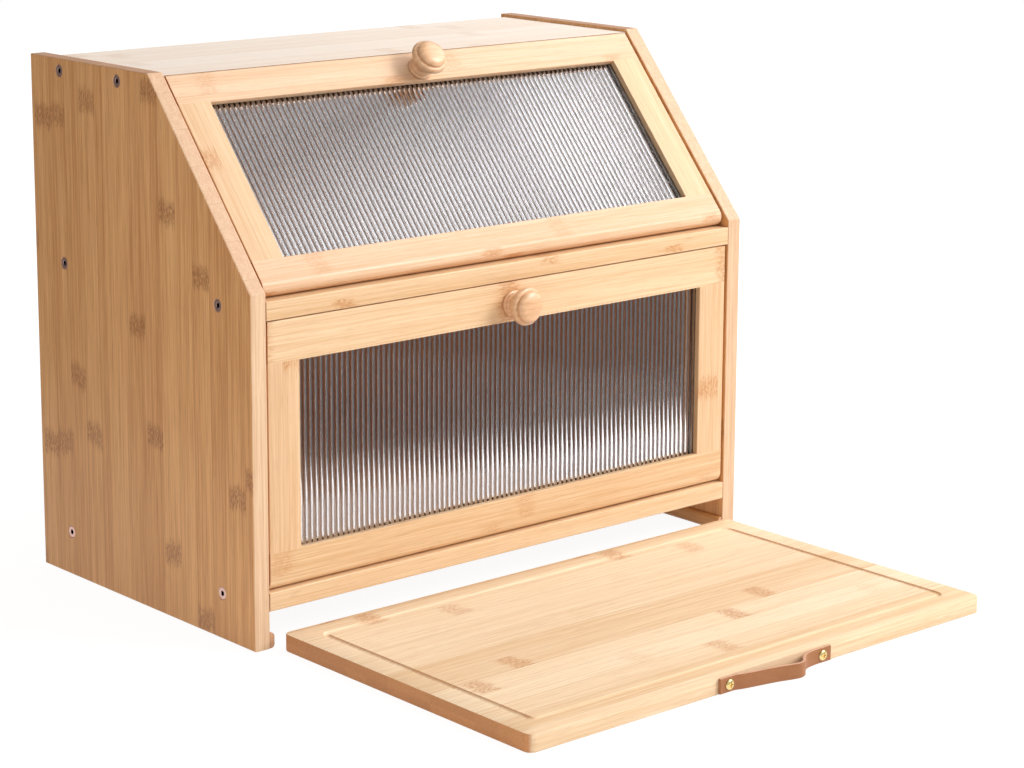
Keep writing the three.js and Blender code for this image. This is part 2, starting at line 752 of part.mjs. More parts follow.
// The leather lies flat under its screws, leans out to a tight fold right of the middle, and
// comes back behind it. Each point is [distance along the board, share of the bulge].
function strapCentreLine() {
  const flat = strapThickness / 2 + seatGap;
  const rise = strapBulge - flat;
  const span = strapRightEnd - strapLeftEnd;
  const shares = [
    [0, 0],
    [0.13, 0.01],
    [0.22, 0.23],
    [0.42, 0.58],
    [0.55, 0.9],
    [0.61, 1],
    [0.66, 0.85],
    [0.7, 0.48],
    [0.77, 0.13],
    [0.86, 0.01],
    [1, 0],
  ];
  const points = shares.map(([along, out]) => {
    const y = cuttingBoardFront - flat - rise * out;
    return new THREE.Vector3(strapLeftEnd + span * along, y, 0);
  });
  return new THREE.CatmullRomCurve3(points, false, 'centripetal');
}

function makeStrap() {
  const line = strapCentreLine();
  const edge = (side) =>
    Array.from({ length: strapSegments + 1 }, (_, i) => {
      const tangent = line.getTangentAt(i / strapSegments);
      const point = line.getPointAt(i / strapSegments);
      const offset = (side * strapThickness) / 2;
      return new THREE.Vector2(point.x - tangent.y * offset, point.y + tangent.x * offset);
    });
  const outline = new THREE.Shape([...edge(-1), ...edge(1).reverse()]);
  const blank = alongZ(outline, strapMiddle - strapWidth / 2, strapWidth);
  const screwHoles = strapScrewX.map((x) =>
    rod(
      new THREE.Vector3(x, cuttingBoardFront + strapThickness, strapMiddle),
      forwards,
      3 * strapThickness,
      strapScrewShankDiameter + 2 * seatGap,
    ),
  );
  return named('strap_handle', cut(blank, screwHoles), 'leather');
}

// ---- Assembly -----------------------------------------------------------------------------------

const breadBox = new THREE.Group();

for (const [side, word] of sides) {
  breadBox.add(makeSidePanel(side, word), makeGuideStrip(side, word), ...makeSideScrews(side, word));
}
breadBox.add(
  makeTopBoard(upperMagnets.map(magnetPocket)),
  makeBoard('middle_shelf', shelfTop, lowerMagnets.map(magnetPocket)),
  makeBoard('bottom_board', bottomBoardTop, []),
  makeBackPanel(),
  makeDoorStop(),
  ...upperMagnets.map((seat) => makeMagnet('upper_catch_magnet', seat)),
  ...lowerMagnets.map((seat) => makeMagnet('lower_catch_magnet', seat)),
);

const upperLevels = doorLevels(upperDoorHeight, upperTopRail, upperBottomRail, upperKnobDrop);
const upperDoor = makeDoor('upper_door', upperLevels);
upperDoor.position.copy(upperPivot);
upperDoor.rotation.x = -slopeTilt;
const lowerLevels = doorLevels(lowerDoorHeight, lowerTopRail, lowerBottomRail, lowerKnobDrop);
const lowerDoor = makeDoor('lower_door', lowerLevels);
lowerDoor.position.copy(lowerPivot);
breadBox.add(upperDoor, lowerDoor);

breadBox.add(
  makeCuttingBoard(),
  makeStrap(),
  makeStrapScrew(strapScrewX[0], 'left'),
  makeStrapScrew(strapScrewX[1], 'right'),
);

// Centre the whole, with its board drawn out, over the origin.
const whole = new THREE.Box3().setFromObject(breadBox, true);
breadBox.position.y = -(whole.min.y + whole.max.y) / 2;

export default breadBox;
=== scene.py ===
"""Bamboo bread box with two drop-open doors, fluted windows and a pull-out cutting board.

The CAD solids of the case, rails and beads are kept and get bamboo materials. Finer meshes replace
the stiles, panes, knobs, side and strap screws, cutting board and leather pull.
"""

import json
import math

import bmesh
import bpy
from mathutils import Matrix, Vector


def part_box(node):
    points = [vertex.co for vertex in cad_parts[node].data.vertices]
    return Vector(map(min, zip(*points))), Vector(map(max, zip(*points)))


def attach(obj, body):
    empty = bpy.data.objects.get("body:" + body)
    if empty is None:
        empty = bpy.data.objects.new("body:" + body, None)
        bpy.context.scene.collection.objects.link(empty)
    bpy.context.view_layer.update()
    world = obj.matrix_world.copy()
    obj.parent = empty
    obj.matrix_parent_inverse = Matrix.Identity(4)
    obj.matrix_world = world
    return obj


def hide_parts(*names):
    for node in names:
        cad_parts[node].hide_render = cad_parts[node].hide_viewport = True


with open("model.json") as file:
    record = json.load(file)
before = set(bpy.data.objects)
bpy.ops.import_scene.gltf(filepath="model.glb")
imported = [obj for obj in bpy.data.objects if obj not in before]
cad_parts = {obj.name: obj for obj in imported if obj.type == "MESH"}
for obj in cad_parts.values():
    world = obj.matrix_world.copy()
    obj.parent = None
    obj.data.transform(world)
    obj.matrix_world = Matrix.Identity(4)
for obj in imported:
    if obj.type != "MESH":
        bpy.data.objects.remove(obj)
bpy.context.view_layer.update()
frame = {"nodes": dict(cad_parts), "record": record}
nodes = frame["nodes"]
joints = {joint["name"]: joint for joint in frame["record"]["behaviour"]["joints"]}

MM = 0.001
X_AXIS = Vector((1, 0, 0))
Y_AXIS = Vector((0, 1, 0))
Z_AXIS = Vector((0, 0, 1))
SIDES = ("left", "right")
SEAT_GAP = 0.3 * MM  # the gap that the CAD keeps between seated pieces


# ---- Places taken from the frame ----------------------------------------------------------------


def outward(node):
    """The normal of the node's largest face that looks towards the front."""
    facing = [p for p in nodes[node].data.polygons if p.normal.y < -0.1]
    return max(facing, key=lambda p: p.area).normal.copy()


def door_matrix(prefix):
    """From door coordinates to the row frame. Door y runs inwards and door z runs up the door."""
    out = outward(f"{prefix}_top_rail")
    up = X_AXIS.cross(-out)
    axes = Matrix((X_AXIS, -out, up)).transposed().to_4x4()
    return Matrix.Translation(Vector(joints[f"{prefix}_hinge"]["pos_m"])) @ axes


DOORS = {prefix: door_matrix(prefix) for prefix in ("upper_door", "lower_door")}
DOOR_UP = {prefix: matrix.to_3x3() @ Z_AXIS for prefix, matrix in DOORS.items()}
DOOR_IN = {prefix: matrix.to_3x3() @ Y_AXIS for prefix, matrix in DOORS.items()}


def local_box(node, matrix):
    """The node's lowest and highest corners in the coordinates of matrix."""
    back = matrix.inverted()
    points = [back @ vertex.co for vertex in nodes[node].data.vertices]
    return (
        Vector([min(p[axis] for p in points) for axis in range(3)]),
        Vector([max(p[axis] for p in points) for axis in range(3)]),
    )


# ---- Camera -------------------------------------------------------------------------------------

CAMERA_PLACE = Vector((-1.09768, -1.25245, 0.53455))
CAMERA_TURN = 0.71759  # to the right of +Y
CAMERA_DIP = 0.20074  # below the horizon
CAMERA_ROLL = 0.00516
CAMERA_LENS = 96.493
CAMERA_SHIFT = -0.0977


def add_camera():
    data = bpy.data.cameras.new("camera")
    data.lens = CAMERA_LENS
    data.shift_y = CAMERA_SHIFT
    data.clip_start = 0.05
    camera = bpy.data.objects.new("camera", data)
    bpy.context.scene.collection.objects.link(camera)
    turn = Matrix.Rotation(-CAMERA_TURN, 4, "Z")
    dip = Matrix.Rotation(math.pi / 2 - CAMERA_DIP, 4, "X")
    roll = Matrix.Rotation(CAMERA_ROLL, 4, "Z")
    camera.matrix_world = Matrix.Translation(CAMERA_PLACE) @ turn @ dip @ roll
    bpy.context.scene.camera = camera


# ---- Shader nodes -------------------------------------------------------------------------------


class Graph:
    """Short forms for building a node tree."""

    def __init__(self, tree):
        self.tree = tree

    def node(self, kind, **settings):
        node = self.tree.nodes.new(kind)
        for name, value in settings.items():
            setattr(node, name, value)
        return node

    def put(self, socket, value):
        if isinstance(value, bpy.types.NodeSocket):
            self.tree.links.new(value, socket)
        else:
            socket.default_value = value

    def math(self, operation, *values, clamp=False):
        node = self.node("ShaderNodeMath", operation=operation, use_clamp=clamp)
        for socket, value in zip(node.inputs, values):
            self.put(socket, value)
        return node.outputs[0]

    def centred(self, value):
        """A value between 0 and 1 moved to lie about 0."""
        return self.math("SUBTRACT", value, 0.5)

    def dot(self, vector, other):
        node = self.node("ShaderNodeVectorMath", operation="DOT_PRODUCT")
        self.put(node.inputs[0], vector)
        self.put(node.inputs[1], other)
        return node.outputs["Value"]

    def facing(self, normal, direction):
        """1 on faces square to the direction, on either side, and 0 on faces along it."""
        return self.math("ABSOLUTE", self.dot(normal, Vector(direction)))

    def combine(self, x, y, z):
        node = self.node("ShaderNodeCombineXYZ")
        for socket, value in zip(node.inputs, (x, y, z)):
            self.put(socket, value)
        return node.outputs[0]

    def split(self, vector):
        node = self.node("ShaderNodeSeparateXYZ")
        self.put(node.inputs[0], vector)
        return node.outputs

    def noise(self, vector, detail=2.0):
        node = self.node("ShaderNodeTexNoise")
        self.put(node.inputs["Vector"], vector)
        node.inputs["Scale"].default_value = 1
        node.inputs["Detail"].default_value = detail
        return node.outputs["Fac"]

    def grain(self, place, sizes, detail=2.0, shift=0.0):
        """Noise with features of these sizes along the three coordinates of place."""
        along, across, through = (self.math("DIVIDE", v, size) for v, size in zip(place, sizes))
        return self.noise(self.combine(self.math("ADD", along, shift), across, through), detail)

    def random(self, vector):
        node = self.node("ShaderNodeTexWhiteNoise", noise_dimensions="3D")
        self.put(node.inputs["Vector"], vector)
        return self.split(node.outputs["Color"])

    def ramp(self, value, low, high, out_low=0.0, out_high=1.0):
        node = self.node("ShaderNodeMapRange", interpolation_type="SMOOTHSTEP")
        for socket, item in zip(node.inputs, (value, low, high, out_low, out_high)):
            self.put(socket, item)
        return node.outputs[0]

    def mix_value(self, share, first, second):
        """first where share is 0 and second where it is 1."""
        node = self.node("ShaderNodeMix", data_type="FLOAT")
        for socket, value in zip((node.inputs[0], node.inputs[2], node.inputs[3]), (share, first, second)):
            self.put(socket, value)
        return node.outputs[0]

    def mix(self, share, first, second):
        node = self.node("ShaderNodeMix", data_type="RGBA")
        color_inputs = [s for s in node.inputs if s.type == "RGBA"]
        self.put(node.inputs[0], share)
        self.put(color_inputs[0], first)
        self.put(color_inputs[1], second)
        return next(s for s in node.outputs if s.type == "RGBA")

    def mix_shader(self, share, first, second):
        node = self.node("ShaderNodeMixShader")
        for socket, value in zip(node.inputs, (share, first, second)):
            self.put(socket, value)
        return node.outputs[0]

    def ray_kinds(self):
        """Whether a ray is mirrored or bent, and whether it is that or the camera's own."""
        path = self.node("ShaderNodeLightPath").outputs
        mirrored = self.math("MAXIMUM", path["Is Glossy Ray"], path["Is Transmission Ray"])
        return mirrored, self.math("MAXIMUM", path["Is Camera Ray"], mirrored)


def linear(value):
    return value / 12.92 if value <= 0.04045 else ((value + 0.055) / 1.055) ** 2.4


def srgb(red, green, blue):
    return (*(linear(v / 255) for v in (red, green, blue)), 1.0)


def new_material(name):
    material = bpy.data.materials.new(name)
    material.use_nodes = True
    shader = material.node_tree.nodes["Principled BSDF"]
    return material, Graph(material.node_tree), shader


def set_surface(material, graph, surface):
    graph.put(material.node_tree.nodes["Material Output"].inputs["Surface"], surface)


def add_bump(graph, shader, height, distance):
    bump = graph.node("ShaderNodeBump")
    bump.inputs["Distance"].default_value = distance
    bump.inputs["Strength"].default_value = 1.0
    graph.put(bump.inputs["Height"], height)
    graph.put(shader.inputs["Normal"], bump.outputs[0])


# ---- Bamboo -------------------------------------------------------------------------------------

# Sizes along, across and through a strip, in millimetres.
BROAD_STREAK = (300.0, 3.6, 3.6)
FIBRE = (48.0, 0.75, 0.75)
VESSEL_DASH = (14.0, 0.6, 0.6)
NODE_WAVE = (60.0, 9.0, 9.0)
NODE_FRAY = (40.0, 1.1, 1.1)
NODE_MOTTLE = (2.6, 1.0, 1.0)
END_SPECKLE = (1.6, 0.7, 0.7)

LAYER = 5.5  # thickness of a layer of strips
BROAD_STRENGTH = 1.6
FIBRE_STRENGTH = 2.3
DASH_STRENGTH = 0.2
MARK_STRENGTH = 0.7
WAVE_REACH = 9.0  # how far a node's band sways along the strip
FRAY_REACH = 13.0  # how far its fibres fray
BAND_EDGE = (10.0, 3.5)  # where a band starts and is full, from its middle
GLUE_LINE = (0.32, 0.05)  # where the line between two strips starts and is full
GLUE_STRENGTH = 0.22
END_SHADE = 0.22
DASH_LEVEL = (0.6, 0.74)  # noise at which a vessel's dash starts and is full
EDGE_TURN = (0.9, 0.5)  # how far a face looks along the strips' thickness, from face to edge
CUT_TURN = (0.45, 0.9)  # and along their length, from side to cut end
STRIP_START = 0.37  # share of a strip by which the first one is moved
STRIP_SHIFT = 40.0  # the most by which two strips' grain is moved apart, in its own sizes
WOOD_BUMP = 0.05 * MM


def strip_color(graph, place, tones, shift, contrast_level, streaks):
    """The pale to deep tone of a strip, with broad streaks and fine fibres along it."""
    broad = graph.grain(place, BROAD_STREAK, 2.0, shift)
    fine = graph.grain(place, FIBRE, 3.0, shift)
    level = graph.math("MULTIPLY_ADD", graph.centred(broad), BROAD_STRENGTH * streaks, contrast_level)
    level = graph.math("MULTIPLY_ADD", graph.centred(fine), FIBRE_STRENGTH * streaks, level)
    level = graph.math("ADD", level, 0.5, clamp=True)
    return fine, level, graph.mix(level, tones["deep"], tones["pale"])


def node_bands(graph, place, spacing, phase, strength, faint):
    """The culm's nodes, which cross each strip as frayed and mottled bands."""
    along = graph.math("ADD", graph.math("DIVIDE", place[0], spacing), phase)
    offset = graph.math("MULTIPLY", graph.centred(graph.math("FRACT", along)), spacing)
    wave = graph.math("MULTIPLY", graph.centred(graph.grain(place, NODE_WAVE, 1.0, 3.1)), WAVE_REACH)
    fray = graph.math("MULTIPLY", graph.centred(graph.grain(place, NODE_FRAY, 1.0, 5.3)), FRAY_REACH)
    distance = graph.math("ABSOLUTE", graph.math("ADD", offset, graph.math("ADD", wave, fray)))
    band = graph.ramp(distance, *BAND_EDGE)
    mottle = graph.ramp(graph.grain(place, NODE_MOTTLE, 2.0, 9.4), 0.38, 0.6, 0.25, 1.0)
    shown = graph.ramp(strength, 0.25, 0.85, faint, 1.0)
    return graph.math("MULTIPLY", graph.math("MULTIPLY", band, mottle), shown)


def glue_lines(graph, place_in_strips, strip):
    off_middle = graph.math("ABSOLUTE", graph.centred(graph.math("FRACT", place_in_strips)))
    from_edge = graph.math("SUBTRACT", 0.5, off_middle)
    return graph.ramp(graph.math("MULTIPLY", from_edge, strip), *GLUE_LINE)


def cut_end_color(graph, place, tones, tone):
    """Cut ends are darker and speckled with the ends of the fibres."""
    speckle = graph.ramp(graph.grain(place, END_SPECKLE, 2.0), 0.38, 0.66)
    color = graph.mix(speckle, tones["end"], tones["mark"])
    color = graph.mix(0.72, color, tones["end"])
    return graph.mix(graph.math("MULTIPLY", tone, END_SHADE), color, tones["mark"])


def bamboo(
    name,
    directions,
    tones,
    edge=None,
    strip=20.0,
    contrast=0.4,
    streaks=0.75,
    marks=1.0,
    spacing=270.0,
    faint=0.0,
    seed=0.0,
    roughness=0.45,
):
    """Strips glued edge to edge. The directions are the strips' length, width and thickness, and
    sizes are in millimetres. edge gives other tones to the faces turned away from the strips'."""
    material, graph, shader = new_material(name)
    coordinates = graph.node("ShaderNodeTexCoord").outputs
    normal = coordinates["Normal"]
    place = [graph.dot(coordinates["Object"], Vector(direction) / MM) for direction in directions]
    length, _, thickness = directions

    place_in_strips = graph.math("ADD", graph.math("DIVIDE", place[1], strip), STRIP_START + seed)
    strip_index = graph.math("FLOOR", place_in_strips)
    layer_index = graph.math("FLOOR", graph.math("DIVIDE", place[2], LAYER))
    tone, phase, strength = graph.random(graph.combine(strip_index, layer_index, seed + 0.5))

    strip_shift = graph.math("MULTIPLY", phase, STRIP_SHIFT)
    contrast_level = graph.math("MULTIPLY_ADD", tone, contrast, -0.5 * contrast)
    fine, level, color = strip_color(graph, place, tones, strip_shift, contrast_level, streaks)
    blotch = node_bands(graph, place, spacing, phase, strength, faint)
    # On the side panels this mask gives the broad faces the painted shade of their tones, and the edge
    # faces the paler edge tones.
    if edge:
        turned_away = graph.ramp(graph.facing(normal, thickness), *EDGE_TURN)
        color = graph.mix(turned_away, color, graph.mix(level, *edge))
        blotch = graph.math("MULTIPLY", blotch, graph.math("SUBTRACT", 1.0, turned_away))

    dashes = graph.ramp(graph.grain(place, VESSEL_DASH, 1.0, 7.7), *DASH_LEVEL)
    color = graph.mix(graph.math("MULTIPLY", dashes, DASH_STRENGTH), color, tones["mark"])
    color = graph.mix(graph.math("MULTIPLY", blotch, MARK_STRENGTH * marks), color, tones["node"])
    line = glue_lines(graph, place_in_strips, strip)
    color = graph.mix(graph.math("MULTIPLY", line, GLUE_STRENGTH), color, tones["mark"])
    cut = graph.ramp(graph.facing(normal, length), *CUT_TURN)
    color = graph.mix(cut, color, cut_end_color(graph, place, tones, tone))

    graph.put(shader.inputs["Base Color"], color)
    shader.inputs["Roughness"].default_value = roughness
    shader.inputs["IOR"].default_value = 1.48
    height = graph.math("SUBTRACT", fine, graph.math("MULTIPLY", line, 0.5))
    add_bump(graph, shader, height, WOOD_BUMP)
    return material


def paint(material, *names):
    for name in names:
        slots = nodes[name].data.materials
        slots.clear()
        slots.append(material)


FRONT_TONES = dict(
    pale=srgb(240, 208, 169),
    deep=srgb(218, 174, 126),
    mark=srgb(146, 92, 52),
    node=srgb(196, 130, 74),
    end=srgb(208, 150, 104),
)
UPPER_TONES = dict(FRONT_TONES, pale=srgb(235, 199, 165), deep=srgb(214, 167, 123))
STILE_TONES = dict(FRONT_TONES, pale=srgb(236, 201, 162), deep=srgb(214, 168, 121))
# Near-white tones for the top board: painted light and sheen for the strong light from above.
LIT_TOP_TONES = dict(FRONT_TONES, pale=srgb(252, 241, 229), deep=srgb(242, 221, 202))
BOARD_TONES = dict(
    FRONT_TONES, pale=srgb(248, 223, 190), deep=srgb(228, 189, 145), end=srgb(212, 146, 92)
)
# Tones for the sides, guides and back: the bamboo's own strips, made darker and more saturated than the
# front's as painted shade for faces that lie in shade.
SHADED_SIDE_TONES = dict(
    pale=srgb(236, 178, 116),
    deep=srgb(202, 138, 80),
    mark=srgb(130, 76, 42),
    node=srgb(150, 90, 46),
    end=srgb(216, 168, 132),
)
# Paler tones for the side panels' edge faces, which face the light, without the painted shade of the broad
# faces.
SIDE_EDGES = (srgb(215, 173, 136), srgb(235, 203, 167))
RAIL_TONES = {"upper_door": UPPER_TONES, "lower_door": FRONT_TONES}


def paint_case():
    side = bamboo(
        "bamboo_side",
        (Z_AXIS, Y_AXIS, X_AXIS),
        SHADED_SIDE_TONES,
        edge=SIDE_EDGES,
        strip=17.0,
        streaks=1.0,
        spacing=210.0,
        seed=3.0,
    )
    guide = bamboo("bamboo_guide", (Y_AXIS, Z_AXIS, X_AXIS), SHADED_SIDE_TONES, seed=5.0)
    for word in SIDES:
        paint(side, f"side_panel_{word}")
        paint(guide, f"guide_strip_{word}")

    flat = (X_AXIS, Y_AXIS, Z_AXIS)
    board = bamboo("bamboo_board", flat, FRONT_TONES, seed=7.0)
    paint(board, "middle_shelf", "bottom_board", "lower_door_stop")
    top = bamboo("bamboo_top", flat, LIT_TOP_TONES, marks=0.35, seed=8.0, roughness=0.75)
    paint(top, "top_board")
    back = bamboo("bamboo_back", (X_AXIS, Z_AXIS, Y_AXIS), SHADED_SIDE_TONES, strip=22.0, seed=9.0)
    paint(back, "back_panel")


def paint_door(prefix, number):
    """Paints the rails and beads, and returns the material of the stiles."""
    up, inwards = DOOR_UP[prefix], DOOR_IN[prefix]
    rails = bamboo(
        f"bamboo_{prefix}_rails",
        (X_AXIS, up, inwards),
        RAIL_TONES[prefix],
        strip=26.0,
        spacing=190.0,
        faint=0.45,
        seed=11.0 + number,
    )
    stiles = bamboo(
        f"bamboo_{prefix}_stiles",
        (up, X_AXIS, inwards),
        STILE_TONES,
        strip=24.0,
        contrast=0.15,
        seed=13.0 + number,
    )
    paint(rails, *(f"{prefix}_{word}" for word in ("bottom_rail", "top_rail", "bead_bottom", "bead_top")))
    paint(stiles, *(f"{prefix}_bead_{word}" for word in SIDES))
    return stiles


def cutting_board_bamboo():
    return bamboo(
        "bamboo_cutting_board",
        (X_AXIS, Y_AXIS, Z_AXIS),
        BOARD_TONES,
        contrast=0.75,
        spacing=200.0,
        strip=19.0,
        seed=17.0,
        roughness=0.6,
    )


# ---- Other materials ----------------------------------------------------------------------------

# Sizes of the spots along x, y and z.
WEAR_SPOT = (MM / 0.9,) * 3
LEATHER_PORE = (MM / 1.4,) * 3
LEATHER_PATCH = (MM / 0.13, MM / 0.13, MM / 0.2)
HAZE = (MM / 0.9, MM / 0.04, MM / 0.04)

# Dark colour painted inside the side screws' sockets as shade in the recess.
SOCKET_SHADE_COLOR = srgb(44, 36, 34)
SOCKET_SHADE_FADE = 0.4 * MM  # the depth over which the painted shade in a socket deepens

# The knobs' grain in millimetres across the door, up it and inwards.
KNOB_BEND = (22.0, 9.0)
KNOB_SWAY = 6.0
KNOB_RINGS = (1.5, 0.12)  # turn of the rings for a millimetre up and inwards
KNOB_FIBRE = (9.0, 0.6, 0.6)
KNOB_FIBRE_SHARE = 0.86
KNOB_BUMP = 0.04 * MM

PORE_SHARE = 0.35
PORE_BUMP = 0.08 * MM


def metal(name, pale, deep, roughness, socket=None):
    """socket is the distance from the middle of the object at which side screws' sockets take a painted
    shade.
    """
    material, graph, shader = new_material(name)
    place = graph.split(graph.node("ShaderNodeTexCoord").outputs["Object"])
    wear = graph.grain(place, WEAR_SPOT, 3.0)
    color = graph.mix(wear, deep, pale)
    if socket:
        # Painted shade darkens the socket below the screw's face.
        socket_shade = graph.ramp(graph.math("ABSOLUTE", place[0]), socket, socket - SOCKET_SHADE_FADE)
        color = graph.mix(socket_shade, color, SOCKET_SHADE_COLOR)
    graph.put(shader.inputs["Base Color"], color)
    shader.inputs["Metallic"].default_value = 1.0
    graph.put(
        shader.inputs["Roughness"], graph.ramp(wear, 0.3, 0.7, roughness - 0.06, roughness + 0.08)
    )
    return material


def knob_wood(prefix):
    """Fine-grained turned wood under gloss lacquer, with its grain across the door."""
    material, graph, shader = new_material(f"{prefix}_knob_wood")
    coordinates = graph.node("ShaderNodeTexCoord").outputs["Object"]
    directions = (X_AXIS, DOOR_UP[prefix], DOOR_IN[prefix])
    place = [graph.dot(coordinates, direction / MM) for direction in directions]
    waves = [graph.math("DIVIDE", value, size) for value, size in zip(place, KNOB_BEND)]
    rings = graph.math("MULTIPLY", graph.noise(graph.combine(*waves, 0.0)), KNOB_SWAY)
    for value, turn in zip(place[1:], KNOB_RINGS):
        rings = graph.math("MULTIPLY_ADD", value, turn, rings)
    wave = graph.math("MULTIPLY_ADD", graph.math("SINE", rings), 0.5, 0.5)
    fibre = graph.grain(place, KNOB_FIBRE, 3.0)
    level = graph.mix_value(KNOB_FIBRE_SHARE, wave, fibre)
    graph.put(shader.inputs["Base Color"], graph.mix(level, srgb(192, 138, 94), srgb(255, 210, 166)))
    shader.inputs["Roughness"].default_value = 0.36
    shader.inputs["Coat Weight"].default_value = 0.35
    shader.inputs["Coat Roughness"].default_value = 0.15
    add_bump(graph, shader, fibre, KNOB_BUMP)
    return material


def leather():
    """Smooth brown leather with pale cut edges above and below."""
    material, graph, shader = new_material("leather")
    coordinates = graph.node("ShaderNodeTexCoord").outputs
    place = graph.split(coordinates["Object"])
    fine = graph.grain(place, LEATHER_PORE, 3.0)
    level = graph.mix_value(PORE_SHARE, graph.grain(place, LEATHER_PATCH), fine)
    color = graph.mix(level, srgb(144, 88, 48), srgb(179, 119, 73))
    edge = graph.ramp(graph.facing(coordinates["Normal"], Z_AXIS), 0.6, 0.9)
    graph.put(shader.inputs["Base Color"], graph.mix(edge, color, srgb(208, 160, 128)))
    shader.inputs["Roughness"].default_value = 0.55
    add_bump(graph, shader, fine, PORE_BUMP)
    return material


def acrylic(name, clear_share):
    """Clear sheet. A share of the lamps' and the bounced light passes each face straight, so that
    the inside is lit."""
    material, graph, shader = new_material(name)
    place = graph.split(graph.node("ShaderNodeTexCoord").outputs["Object"])
    haze = graph.grain(place, HAZE)
    graph.put(shader.inputs["Base Color"], graph.mix(haze, srgb(246, 243, 245), srgb(252, 251, 252)))
    shader.inputs["Roughness"].default_value = 0.012
    shader.inputs["IOR"].default_value = 1.49
    shader.inputs["Transmission Weight"].default_value = 1.0
    shader.inputs["Coat Weight"].default_value = 1.0
    shader.inputs["Coat IOR"].default_value = 1.5
    shader.inputs["Coat Roughness"].default_value = 0.03
    path = graph.node("ShaderNodeLightPath").outputs
    passing = graph.math("MAXIMUM", path["Is Shadow Ray"], path["Is Diffuse Ray"])
    clear = graph.node("ShaderNodeBsdfTransparent")
    clear.inputs["Color"].default_value = (clear_share, 0.99 * clear_share, clear_share, 1)
    set_surface(material, graph, graph.mix_shader(passing, shader.outputs[0], clear.outputs[0]))
    return material


# ---- Meshes -------------------------------------------------------------------------------------


def add_piece(node, body, material, skin, matrix=None, crease=35.0):
    """A mesh piece in place of a node, from a skin of points and faces in metres."""
    points, faces = skin
    name = f"{node}_fine"
    mesh = bpy.data.meshes.new(name)
    mesh.from_pydata([tuple(p) for p in points], [], faces)
    work = bmesh.new()
    work.from_mesh(mesh)
    bmesh.ops.recalc_face_normals(work, faces=work.faces)
    work.to_mesh(mesh)
    work.free()
    if matrix is not None:
        mesh.transform(matrix)
    mesh.shade_smooth()
    mesh.set_sharp_from_angle(angle=math.radians(crease))
    mesh.materials.append(material)
    piece = bpy.data.objects.new(name, mesh)
    bpy.context.scene.collection.objects.link(piece)
    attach(piece, body)
    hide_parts(node)
    return piece


def loft(rings):
    """Points and faces of a skin over rings that all have the same number of points, closed at
    both ends."""
    count = len(rings[0])
    points = [p for ring in rings for p in ring]
    faces = []
    for level in range(len(rings) - 1):
        low, high = level * count, (level + 1) * count
        for i in range(count):
            j = (i + 1) % count
            faces.append((low + i, low + j, high + j, high + i))
    last = (len(rings) - 1) * count
    faces.append(tuple(reversed(range(count))))
    faces.append(tuple(last + i for i in range(count)))
    return points, faces


def circle(radii, height):
    """A ring about z with these radii, spaced evenly round it."""
    turns = [2 * math.pi * i / len(radii) for i in range(len(radii))]
    return [(r * math.cos(turn), r * math.sin(turn), height) for r, turn in zip(radii, turns)]


def turned(profile, steps):
    """A round skin about z from [(radius, height)]."""
    return loft([circle([radius] * steps, height) for radius, height in profile])


def rounded(corners, steps=4):
    """An outline whose corners (x, y, radius) are rounded."""
    outline = []
    count = len(corners)
    for i, (x, y, radius) in enumerate(corners):
        here = Vector((x, y))
        before = (Vector(corners[i - 1][:2]) - here).normalized()
        after = (Vector(corners[(i + 1) % count][:2]) - here).normalized()
        if radius <= 0:
            outline.append(here)
            continue
        start, finish = here + before * radius, here + after * radius
        centre = start + after * radius
        for k in range(steps + 1):
            turn = k / steps * math.pi / 2
            outline.append(
                centre + (start - centre) * math.cos(turn) + (finish - centre) * math.sin(turn)
            )
    return outline


def prism(outline, low, high):
    """A skin over an outline (x, y) between two heights."""
    return loft([[(x, y, z) for x, y in outline] for z in (low, high)])


def smooth_course(points, steps):
    """Catmull-Rom points through the given ones."""
    padded = [points[0] * 2 - points[1], *points, points[-1] * 2 - points[-2]]
    course = []
    for i in range(1, len(padded) - 2):
        a, b, c, d = padded[i - 1 : i + 3]
        for k in range(steps):
            t = k / steps
            bend = (2 * a - 5 * b + 4 * c - d) * t**2 + (3 * b - a - 3 * c + d) * t**3
            course.append(0.5 * (2 * b + (c - a) * t + bend))
    return [*course, points[-1].copy()]


def carve(piece, boxes):
    """Cuts out of the piece the boxes that these matrices make of a unit cube."""
    work = bmesh.new()
    for matrix in boxes:
        bmesh.ops.create_cube(work, size=1.0, matrix=matrix)
    mesh = bpy.data.meshes.new("cutter")
    work.to_mesh(mesh)
    work.free()
    cutter = bpy.data.objects.new("cutter", mesh)
    bpy.context.scene.collection.objects.link(cutter)
    modifier = piece.modifiers.new("carve", "BOOLEAN")
    modifier.object = cutter
    modifier.operation = "DIFFERENCE"
    modifier.solver = "EXACT"
    modifier.use_self = True
    bpy.context.view_layer.update()
    evaluated = piece.evaluated_get(bpy.context.evaluated_depsgraph_get())
    carved = bpy.data.meshes.new_from_object(evaluated)
    piece.modifiers.clear()
    piece.data = carved
    bpy.data.objects.remove(cutter)


# ---- Doors --------------------------------------------------------------------------------------

FRAME_ROUNDING = 0.5 * MM
FLUTE_PITCH = 3.93 * MM
FLUTE_HEIGHT = 1.8 * MM
FLUTE_STEPS = 18
SHEET_THICKNESS = 2.6 * MM

